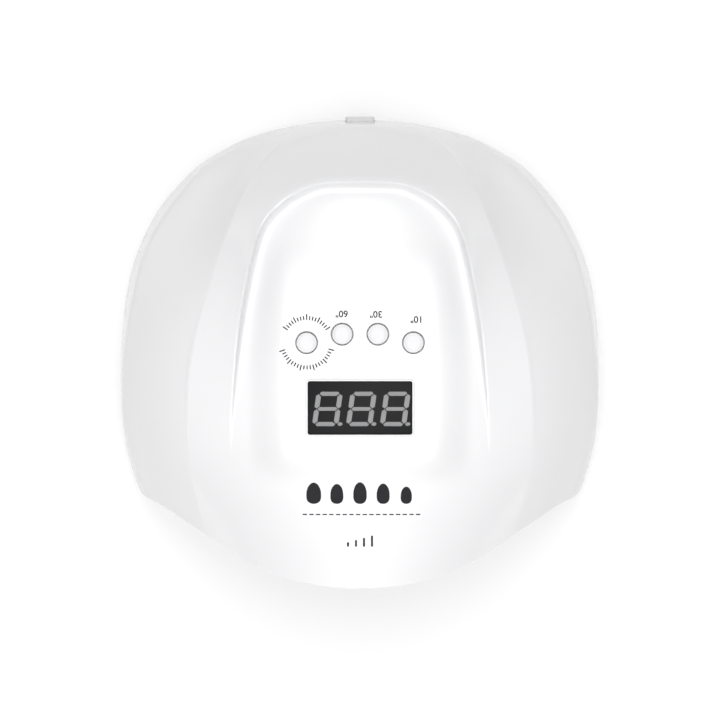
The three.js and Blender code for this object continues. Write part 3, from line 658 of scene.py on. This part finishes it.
def digit_parts():
    """The seven segments and the point of one digit, upright, as outlines round its middle."""
    side, top, th, tv, gap = 4.8, 6.8, 0.93, 1.1, 0.17
    parts = []
    for level, up in ((top, 1), (-top, -1)):
        outer, inner = level + up * th, level - up * th
        parts.append([(-4.5, level), (-3.75, outer), (3.75, outer), (4.5, level),
                      (3.05, inner), (-3.05, inner)])
    parts.append([(-4.45, 0), (-3.65, 0.82), (3.65, 0.82), (4.45, 0), (3.65, -0.82), (-3.65, -0.82)])
    for sx in (-1, 1):
        for sy in (-1, 1):
            near, far = sy * gap, sy * (top - gap)
            parts.append([(sx * side, near), (sx * (side + tv), near + sy * 0.8),
                          (sx * (side + tv), far - sy * 0.7), (sx * side, far),
                          (sx * (side - tv), far - sy * tv), (sx * (side - tv), near + sy * tv)])
    turn = [2 * math.pi * k / 24 for k in range(24)]
    parts.append([(6.6 + 1.1 * math.cos(a), -6.8 + 0.8 * math.sin(a)) for a in turn])
    return parts


def digits():
    segments = []
    slant = math.tan(math.radians(8))
    for x in (-14.6, 0.6, 15.8):
        for outline_2d in digit_parts():
            leaning = [(x + px + py * slant, py - 0.5) for px, py in outline_2d]
            segments.append(loft("segment", prism(leaning, -0.34, -0.27), on_panel(0, DISPLAY_Y)))
    piece = join("display_segments", segments)
    dress(piece, "segment", "housing", "window_black")


digits()


# ---------------------------------------------------------------- printed marks
def on_skin(x, y):
    """Height of the housing's surface above a point in plan, in mm."""
    return skin.ray_cast(Vector((x, y, 120)), Vector((0, 0, -1)))[0].z


def printed(name, outlines):
    """Thin ink shapes laid on the housing, from outlines in plan, in mm."""
    bm = bmesh.new()
    for outline_2d in outlines:
        middle = [sum(p[axis] for p in outline_2d) / len(outline_2d) for axis in (0, 1)]
        top = [bm.verts.new((px * MM, py * MM, (on_skin(px, py) + 0.03) * MM)) for px, py in outline_2d]
        low = [bm.verts.new((px * MM, py * MM, (on_skin(px, py) - 0.05) * MM)) for px, py in outline_2d]
        hub = bm.verts.new((middle[0] * MM, middle[1] * MM, (on_skin(*middle) + 0.03) * MM))
        under = bm.verts.new((middle[0] * MM, middle[1] * MM, (on_skin(*middle) - 0.05) * MM))
        n = len(top)
        for k in range(n):
            bm.faces.new((top[k], top[(k + 1) % n], hub))
            bm.faces.new((low[(k + 1) % n], low[k], under))
            bm.faces.new((low[k], low[(k + 1) % n], top[(k + 1) % n], top[k]))
    bmesh.ops.recalc_face_normals(bm, faces=bm.faces)
    piece = from_bmesh(name, bm)
    dress(piece, "ink", "housing", "black_plastic")
    return piece


def stroke(x0, y0, x1, y1, width):
    """A straight stroke with round ends."""
    along_x, along_y = x1 - x0, y1 - y0
    length = math.hypot(along_x, along_y)
    heading = math.atan2(along_y, along_x)
    steps = max(1, round(length / 1.5))
    r = width / 2
    spine = [(x0 + along_x * k / steps, y0 + along_y * k / steps) for k in range(steps + 1)]
    left = [(px - r * math.sin(heading), py + r * math.cos(heading)) for px, py in spine]
    right = [(px + r * math.sin(heading), py - r * math.cos(heading)) for px, py in spine]
    tip = [(x1 + r * math.cos(heading + a), y1 + r * math.sin(heading + a))
           for a in (math.radians(v) for v in (-60, -30, 0, 30, 60))]
    tail = [(x0 + r * math.cos(heading + a), y0 + r * math.sin(heading + a))
            for a in (math.radians(v) for v in (120, 150, 180, 210, 240))]
    return right + tip + left[::-1] + tail


def label(text, x, y, height):
    """A time in plain figures, read from behind the lamp, on the flat of the panel."""
    curve = bpy.data.curves.new("label", "FONT")
    curve.body = text
    curve.align_x, curve.align_y = "CENTER", "CENTER"
    curve.size = height * MM / 0.69
    curve.extrude = 0.04 * MM
    curve.offset = 0.07 * MM
    obj = new_object("label", curve)
    mesh = bpy.data.meshes.new_from_object(obj.evaluated_get(bpy.context.evaluated_depsgraph_get()))
    bpy.data.objects.remove(obj)
    bm = bmesh.new()
    bm.from_mesh(mesh)
    bmesh.ops.remove_doubles(bm, verts=bm.verts, dist=0.002 * MM)
    bm.to_mesh(mesh)
    bm.free()
    local_y = (y - PANEL_CENTRE[1]) / math.cos(PANEL_TILT)
    mesh.transform(on_panel(x, local_y) @ Matrix.Rotation(math.pi, 4, "Z"))
    return new_object("label", mesh)


TIMES = {'60"': (-8.2, 16.9), '30"': (7.2, 16.7), '10"': (25.4, 14.4)}
FIGURE_HEIGHT = 2.9
dress(join("time_labels", [label(text, x, y, FIGURE_HEIGHT) for text, (x, y) in TIMES.items()]),
      "ink", "housing", "black_plastic")


def dial_ticks():
    """Two arcs of fine ticks round the longest timer's button."""
    cx, cy = BUTTONS["99s"][0], PANEL_CENTRE[1] + BUTTONS["99s"][1] * math.cos(PANEL_TILT)
    ticks = []
    for first, last in ((34, 146), (198, 344)):
        count = round((last - first) / 7.2)
        for k in range(count + 1):
            a = math.radians(mix(first, last, k / count))
            reach = 12.6 if k % 4 == 0 else 11.8
            ticks.append(stroke(cx + 10.4 * math.cos(a), cy + 10.4 * math.sin(a),
                                cx + reach * math.cos(a), cy + reach * math.sin(a), 0.55))
    return ticks


printed("dial_ticks", dial_ticks())


def nail_shape(cx, cy, width, height):
    """A finger nail seen flat: a rounded tip and a broader base."""
    right = []
    for k in range(1, 30):
        v = -math.cos(math.pi * k / 30)
        swell = (1 - abs(v) ** (2.0 if v > 0 else 3.4)) ** 0.5
        right.append((cx + swell * width / 2 * (1 - 0.06 * v), cy + v * height / 2))
    left = [(2 * cx - px, py) for px, py in reversed(right)]
    return [(cx, cy - height / 2), *right, (cx, cy + height / 2), *left]


def front_marks():
    """A row of five nails over a line of dashes, and a small scale of bars, all plain."""
    shapes = []
    for k, (width, height) in enumerate(((6.6, 9.6), (5.8, 9.0), (6.0, 9.8), (5.8, 9.2), (5.0, 7.8))):
        shapes.append(nail_shape(-20.8 + 10.4 * k, -68.6 + height / 2, width, height))
    for k in range(18):
        x = -25.6 + 3.0 * k
        shapes.append(stroke(x, -73.4, x + 1.5, -73.4, 0.55))
    for k, height in enumerate((1.2, 2.2, 3.2, 4.2)):
        shapes.append(stroke(-5.4 + 3.6 * k, -87.6, -5.4 + 3.6 * k, -87.6 + height, 0.9))
    return shapes


printed("front_marks", front_marks())


# ---------------------------------------------------------------- power inlet
def inlet():
    length = INLET_SIZE.y
    block = slab("inlet_block", INLET_SIZE.x, INLET_SIZE.z, -length, 0, 1.1, 0.45, FACING_BACK)
    mouth = arc(3.75, -0.45, 0.45, 180, 94, 5)
    bore = [(0, 2 - length), (3.3, 2 - length), *mouth, (mouth[-1][0], 3), (0, 3)]
    cut(block, [lathe(bore, 64, FACING_BACK)])
    block.data.shade_smooth()
    block.data.set_sharp_from_angle(angle=math.radians(35))
    dress(block, "inlet", "housing", "inlet_grey", "inlet_housing")
    sleeve = [(0, 2.1 - length), (3.27, 2.1 - length), (3.27, -1.4), (3.15, -1.2), (2.8, -1.2), (2.7, -1.35),
              (2.7, 2.6 - length), (0, 2.6 - length)]
    tube = lathe(sleeve, 64, FACING_BACK)
    tube.name = "inlet_sleeve"
    dress(tube, "chip", "housing", "black_plastic")
    low, high = (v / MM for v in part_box("inlet_pin"))
    base = Matrix.Translation((0, low.y * MM, INLET_MID.z * MM)) @ Matrix.Rotation(-math.pi / 2, 4, "X")
    tall = high.y - low.y
    pin = lathe([(0, 0), (1, 0), (1, tall - 0.5), *arc(0.5, tall - 0.5, 0.5, 0, 90, 4), (0, tall)], 32, base)
    pin.name = "centre_contact"
    dress(pin, "nickel", "housing", "nickel", "inlet_pin")


inlet()


# ---------------------------------------------------------------- reflector liner and LED boards
def liner_point(s, p):
    opening = smoothstep((s - 0.84) / 0.16)
    ceiling = LINER_CEILING + 8 * opening
    low = p[..., 2] * 0.93 - 1.5
    flat = -3.5 * np.log(np.exp(-low / 3.5) + np.exp(-ceiling / 3.5))
    shrunk = np.stack([p[..., 0] * LINER_SCALE[0], p[..., 1] * LINER_SCALE[1] + LINER_SHIFT, flat], -1)
    out = mix(shrunk, p * (0.966, 0.985, 0.94), opening[..., None])
    out[..., 2] = np.maximum(out[..., 2], FLANGE_BOTTOM)
    return out


LEDS = {
    "led_board_ceiling": ((0, -5, 58), (0, 0), (92, 72), (4, 3), (24, 26)),
    "led_board_back": ((0, 68, 45), (-47, 0), (56, 14), (3, 1), (20, 0)),
    "led_board_left": ((-64, -10, 46), (0, -42), (16, 88), (1, 4), (0, 24)),
    "led_board_right": ((64, -10, 46), (0, 42), (16, 88), (1, 4), (0, 24)),
    "thumb_board_left": ((-86, 4, 21), (0, -72), (12, 50), (1, 3), (0, 18)),
    "thumb_board_right": ((86, 4, 21), (0, 72), (12, 50), (1, 3), (0, 18)),
}


def board_frame(at, turn):
    """The board's own frame: x and y along it, z away from the cavity."""
    angles = Euler([math.radians(a) for a in turn] + [0], "XYZ")
    return Matrix.Translation(Vector(at) * MM) @ angles.to_matrix().to_4x4()


def led_spots(grid, pitch):
    return [((i - (grid[0] - 1) / 2) * pitch[0], (j - (grid[1] - 1) / 2) * pitch[1])
            for i in range(grid[0]) for j in range(grid[1])]


SENSORS = {"sensor_emitter": (-9, -84), "sensor_receiver": (9, -84)}


def faceted_liner():
    """The reflector: a shell whose inner face is a net of shallow four-sided pyramids."""
    rows, columns = 44, (2, 5, 13)
    s = np.linspace(0, 1, rows + 1)

    def lines_at(stations, offset):
        parts = []
        for count, curve in zip(columns, (side_point, wing_point, crown_point)):
            cuts = (np.arange(count + (0 if offset else 1)) + offset) / count
            grid_s = stations[:, None] * np.ones((1, len(cuts)))
            grid_t = (1 - cuts)[None, :] * np.ones((len(stations), 1))
            part = liner_point(grid_s, curve(grid_s, grid_t))
            parts.append(part if not parts or offset else part[:, 1:])
        return np.concatenate(parts, 1)

    corners = lines_at(s, 0)
    hubs = lines_at((s[1:] + s[:-1]) / 2, 0.5)
    n_rows, n_cols = corners.shape[:2]
    ids = np.arange(n_rows * n_cols).reshape(n_rows, n_cols)
    hub_ids = np.arange(hubs.shape[0] * hubs.shape[1]).reshape(hubs.shape[:2]) + n_rows * n_cols
    half = np.vstack([corners.reshape(-1, 3), hubs.reshape(-1, 3)])
    triangles = []
    for i in range(n_rows - 1):
        for j in range(n_cols - 1):
            loop = [ids[i, j], ids[i, j + 1], ids[i + 1, j + 1], ids[i + 1, j]]
            for k in range(4):
                triangles.append((loop[k], loop[(k + 1) % 4], hub_ids[i, j]))
    count = len(half)
    both = np.vstack([half, half * (-1, 1, 1)])
    all_triangles = triangles + [(b + count, a + count, c + count) for a, b, c in triangles]
    is_hub = np.zeros(2 * count, bool)
    is_hub[hub_ids.ravel()] = True
    is_hub[hub_ids.ravel() + count] = True
    keys = np.round(both * 200).astype(np.int64)
    _, first, inverse = np.unique(keys, axis=0, return_index=True, return_inverse=True)
    inverse = inverse.reshape(-1)
    merged, hub_flags = both[first], is_hub[first]
    clean = [[inverse[v] for v in t] for t in all_triangles]
    clean = [t for t in clean if len(set(t)) == 3]
    normals = vertex_normals(merged, clean)
    on_rim = merged[:, 2] < FLANGE_BOTTOM + 0.01
    normals[on_rim, 2] = 0
    normals /= np.maximum(np.linalg.norm(normals, axis=1, keepdims=True), 1e-9)
    depth = np.where(hub_flags & ~on_rim, LINER_WALL - 1.0, LINER_WALL)[:, None]
    return thickened(merged, clean, merged - normals * depth, 0.3 * (merged[:, 2:] > 6), 6, 2)


def footprint_half(inset, fine=1):
    """The housing's footprint, x >= 0, from the centre of the back to the front corner."""
    w = np.linspace(0, 1, 12 * fine + 1)[:-1]
    half = np.vstack([crown_point(np.zeros_like(w), w), back_edge(np.linspace(0, 1, 12 * fine + 1)),
                      outline(np.linspace(0, 1, 48 * fine + 1))[1:]])[:, :2]
    ahead, behind = np.vstack([half[1:], half[-1:]]), np.vstack([half[:1], half[:-1]])
    step = ahead - behind
    step[0] = (1, 0)
    normal = np.stack([-step[:, 1], step[:, 0]], -1) / np.linalg.norm(step, axis=1, keepdims=True)
    return half - normal * inset


def both_sides(half):
    return np.vstack([half[:0:-1] * (-1, 1), half])


def liner_flange():
    outer = both_sides(footprint_half(WALL + 1.8)[:-1])
    shrink = (LINER_SCALE[0] * 0.985, LINER_SCALE[1] * 0.985)
    inner = both_sides(footprint_half(0)[:-1] * shrink + (0, LINER_SHIFT))
    sections = [[(*o, FLANGE_BOTTOM), (*o, FLANGE_TOP), (*i, FLANGE_TOP), (*i, FLANGE_BOTTOM)]
                for o, i in zip(outer, inner)]
    return loft("flange", sections)


def liner():
    shell, shell_faces = faceted_liner()
    body = mesh_object("reflector", shell, shell_faces, 3)
    holes = []
    for at, turn, _, grid, pitch in LEDS.values():
        for x, y in led_spots(grid, pitch):
            place = board_frame(at, turn) @ Matrix.Translation((x * MM, y * MM, 0))
            holes.append(lathe([(0, -12), (3.3, -12), (3.3, 14), (0, 14)], 40, place))
    for x, y in SENSORS.values():
        holes.append(lathe([(0, 40), (2, 40), (2, 75), (0, 75)], 32, Matrix.Translation((x * MM, y * MM, 0))))
    cut(body, [join("liner_cutters", holes)])
    flange = liner_flange()
    body = join("reflector", [body, flange])
    body.data.shade_smooth()
    body.data.set_sharp_from_angle(angle=math.radians(3))
    dress(body, "mirror", "housing", "mirror_film", "reflector_liner")


liner()


def led_board(name, at, turn, size, grid, pitch):
    place = board_frame(at, turn)
    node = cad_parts[name]
    back = max((place.inverted() @ v.co).z for v in node.data.vertices) / MM
    front = back - 1.2
    plate = slab("plate", size[0], size[1], front, back, 1.5, 0.15, place)
    lenses, dies, rims = [], [], []
    for x, y in led_spots(grid, pitch):
        spot = place @ Matrix.Translation((x * MM, y * MM, (front - 0.02) * MM))
        spot = spot @ Matrix.Rotation(math.pi, 4, "X")
        dome = [(0, 0), (2.6, 0), (2.6, 4.4)] + arc(0, 4.4, 2.6, 0, 90, 12)[1:-1] + [(0, 7.0)]
        lenses.append(lathe(dome, 32, spot))
        cup = [(0, 0.02), (1.3, 0.02), (1.3, 1.0), (1.9, 2.0), (1.7, 2.0), (1.0, 1.1), (0, 1.1)]
        dies.append(lathe(cup, 24, spot @ Matrix.Translation((0, 0, 1.2 * MM))))
        rim = [(0, 0.0), (2.9, 0.0), (2.9, 0.7), (2.75, 0.85), (2.62, 0.85), (2.62, 0.2), (0, 0.2)]
        rims.append(lathe(rim, 32, spot))
    board = join(f"{name}_plate", [plate, *rims])
    dress(board, "led_board", "housing", "led_board_white", name)
    dress(join(f"{name}_lenses", lenses), "led", "housing", "led_board_white")
    dress(join(f"{name}_dies", dies), "die", "housing", "led_board_white")


for name, (at, turn, size, grid, pitch) in LEDS.items():
    led_board(name, at, turn, size, grid, pitch)

for name, (x, y) in SENSORS.items():
    low, high = (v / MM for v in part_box(name))
    eye = arc(0, low.z + 1.6, 1.6, -90, 0, 8)
    eye = [(0, low.z), *eye[1:], (1.6, high.z - 1), (2.8, high.z - 1), (2.8, high.z), (0, high.z)]
    piece = lathe(eye, 32, Matrix.Translation((x * MM, y * MM, 0)))
    piece.name = f"{name}_eye"
    dress(piece, "lens", "housing", "black_plastic", name)


# ---------------------------------------------------------------- base tray
def tray_outline(inset):
    side = footprint_half(inset)
    t = np.linspace(1, 0, 21)[:-1]
    w = np.linspace(1, 0, 41)
    lip = np.vstack([wing_point(np.ones_like(t), t), crown_point(np.ones_like(w), w)])[:, :2]
    corner = side[-1]
    front_x = np.minimum(lip[:, 0], corner[0])
    front = np.stack([front_x, np.minimum(lip[:, 1] + inset * 0.6, corner[1] - 1)], -1)
    half = np.vstack([side, front])
    return np.vstack([half[-2:0:-1] * (-1, 1), half])


def outline_slab(name, shape, z0, z1, edge):
    """A plate with rounded edges, from an outline that takes an inset."""
    sections = [at_height(shape(edge * i), z0 + edge * z) for i, z in ((1, 0), (0.3, 0.3), (0, 1))]
    sections += [at_height(shape(edge * i), z1 - edge * z) for i, z in ((0, 1), (0.3, 0.3), (1, 0))]
    return loft(name, sections)


def four(prefix):
    return [f"{prefix}_{k}" for k in range(1, 5)]


def middle_of(node):
    low, high = (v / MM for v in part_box(node))
    return (low + high) / 2, low, high


def base_tray():
    low, high = (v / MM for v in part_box("base_tray"))
    tray = outline_slab("tray_plate", lambda inset: tray_outline(WALL + 0.6 + inset), low.z, high.z, 0.4)
    pockets = []
    for node in four("keeper"):
        mid, bottom, _ = middle_of(node)
        place = Matrix.Translation((mid.x * MM, mid.y * MM, 0))
        profile = [(0, bottom.z - 0.3), (5.3, bottom.z - 0.3), (5.3, high.z - 0.25), (5.6, high.z + 0.05),
                   (5.6, 6), (0, 6)]
        pockets.append(lathe(profile, 48, place))
    for node in four("foot"):
        mid, _, top = middle_of(node)
        place = Matrix.Translation((mid.x * MM, mid.y * MM, 0))
        pockets.append(lathe([(0, -1), (6.4, -1), (6.4, top.z + 0.3), (0, top.z + 0.3)], 48, place))
    for node in four("housing_screw"):
        mid, _, _ = middle_of(node)
        place = Matrix.Translation((mid.x * MM, mid.y * MM, 0))
        profile = [(0, high.z - 0.8), (3.2, high.z - 0.8), (3.4, high.z - 0.5), (3.4, 6), (0, 6)]
        pockets.append(lathe(profile, 40, place))
    cut(tray, [join("tray_cutters", pockets)])
    tray.data.shade_smooth()
    tray.data.set_sharp_from_angle(angle=math.radians(35))
    dress(tray, "satin", "tray", "white_satin", "base_tray")


base_tray()

sheet_low, sheet_high = (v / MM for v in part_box("mirror_sheet"))
sheet = outline_slab("mirror_plate", lambda inset: tray_outline(0) * (0.82 - inset / 95, 0.82 - inset / 90)
                     + (0, LINER_SHIFT), sheet_low.z, sheet_high.z, 0.12)
dress(sheet, "sheet", "tray", "mirror_film", "mirror_sheet")

for k in range(1, 5):
    mid, low, high = middle_of(f"foot_{k}")
    place = Matrix.Translation((mid.x * MM, mid.y * MM, 0))
    profile = [(0, 0.35), (3.0, 0.35), (3.3, 0.0), (5.3, 0.0), *arc(5.3, 0.7, 0.7, -70, 0, 5),
               (6.0, high.z - 0.2), (5.8, high.z), (0, high.z)]
    foot = lathe(profile, 48, place)
    foot.name = f"foot_pad_{k}"
    dress(foot, "rubber", "tray", "foot_rubber", f"foot_{k}")
    mid, low, high = middle_of(f"keeper_{k}")
    place = Matrix.Translation((mid.x * MM, mid.y * MM, 0))
    profile = [(0, low.z), (4.85, low.z), (5.0, low.z + 0.15), (5.0, high.z - 0.15), (4.85, high.z),
               (1.2, high.z), (1.0, high.z - 0.2), (0, high.z - 0.2)]
    disc = lathe(profile, 48, place)
    disc.name = f"keeper_disc_{k}"
    dress(disc, "steel", "tray", "screw_steel", f"keeper_{k}")

# ---------------------------------------------------------------- carried-over CAD pieces
CARRIED = {
    "control_board": "pcb", "controller_chip": "chip", "driver_transistor": "chip", "capacitor": "chip",
    "power_connector": "cream", "led_connector": "cream", "power_wire_red": "red", "led_wire_red": "red",
    "power_wire_black": "black", "led_wire_black": "black", "board_screw": "steel", "housing_screw": "steel",
    "magnet": "nickel", "switch": "chip", "plunger": "cream", "display_module": "satin",
}
for name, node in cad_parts.items():
    if node.hide_render:
        continue
    material = next(m for prefix, m in CARRIED.items() if name.startswith(prefix))
    node.data.materials.clear()
    node.data.materials.append(M[material])


# ---------------------------------------------------------------- studio
FLOOR_HALF = 8.5
FLOOR_FLAT = 6.5
FLOOR_RISE = 0.7
CAMERA_HEIGHT = 3.0
FRAME_WIDTH = 0.3286
FRAME_LEVEL = 0.03


def studio():
    """A pale floor that sweeps up far from the lamp, and soft light from above, all in metres."""
    bm = bmesh.new()
    bmesh.ops.create_grid(bm, x_segments=48, y_segments=48, size=FLOOR_HALF)
    sweep = FLOOR_HALF - FLOOR_FLAT
    for vertex in bm.verts:
        beyond = min(max(vertex.co.xy.length - FLOOR_FLAT, 0), sweep)
        vertex.co.z = FLOOR_RISE * (beyond / sweep) ** 2
    floor = from_bmesh("floor", bm)
    pale = principled("studio_floor", (0.42, 0.42, 0.42), 0.7, tone=0.004, tone_scale=2)
    shader = pale.node_tree.nodes["Principled BSDF"]
    shader.inputs["Emission Color"].default_value = (1, 1, 1, 1)
    shader.inputs["Emission Strength"].default_value = 0.51
    floor.data.materials.append(pale)
    world = bpy.data.worlds.new("studio_light")
    scene.world = world
    world.use_nodes = True
    nodes, links = world.node_tree.nodes, world.node_tree.links

    def combine(operation, *values):
        node = nodes.new("ShaderNodeMath")
        node.operation = operation
        for socket, value in zip(node.inputs, values):
            if isinstance(value, (int, float)):
                socket.default_value = value
            else:
                links.new(value, socket)
        return node.outputs[0]

    # A soft light overhead, long from front to back, narrow across, a little stronger in front.
    where = nodes.new("ShaderNodeTexCoord")
    split = nodes.new("ShaderNodeSeparateXYZ")
    links.new(where.outputs["Generated"], split.inputs["Vector"])
    height = combine("POWER", combine("MAXIMUM", split.outputs["Z"], 0), 2.6)
    across = combine("MULTIPLY", split.outputs["X"], split.outputs["X"])
    narrow = combine("POWER", combine("SUBTRACT", 1, across), 4)
    forward = combine("MULTIPLY_ADD", split.outputs["Y"], -0.18, 1)
    lobe = combine("MULTIPLY", combine("MULTIPLY", height, narrow), forward)
    level = combine("MULTIPLY_ADD", lobe, 4.35, 0.02)
    background = nodes["Background"]
    background.inputs["Color"].default_value = (1, 1, 1, 1)
    links.new(level, background.inputs["Strength"])

    def soft_box(name, at, size, power, toward=(0, 0, 0.05)):
        light = bpy.data.lights.new(name, "AREA")
        light.shape = "RECTANGLE"
        light.size, light.size_y = size
        light.energy = power
        obj = bpy.data.objects.new(name, light)
        scene.collection.objects.link(obj)
        obj.location = at
        obj.rotation_euler = (Vector(toward) - Vector(at)).to_track_quat("-Z", "Y").to_euler()

    soft_box("left_strip", (-1.2, -0.12, 0.6), (0.03, 0.2), 0.2)
    soft_box("front_strip", (-0.3, -1.3, 0.75), (0.3, 0.08), 0.6)


studio()
scene.view_settings.view_transform = "Standard"

camera_data = bpy.data.cameras.new("camera")
camera = bpy.data.objects.new("camera", camera_data)
scene.collection.objects.link(camera)
camera.location = (0, -0.0039, CAMERA_HEIGHT)
camera.rotation_euler = (0, 0, 0)
camera_data.sensor_width = 36
camera_data.lens = camera_data.sensor_width * (CAMERA_HEIGHT - FRAME_LEVEL) / FRAME_WIDTH
camera_data.clip_start, camera_data.clip_end = 0.1, 20
scene.camera = camera
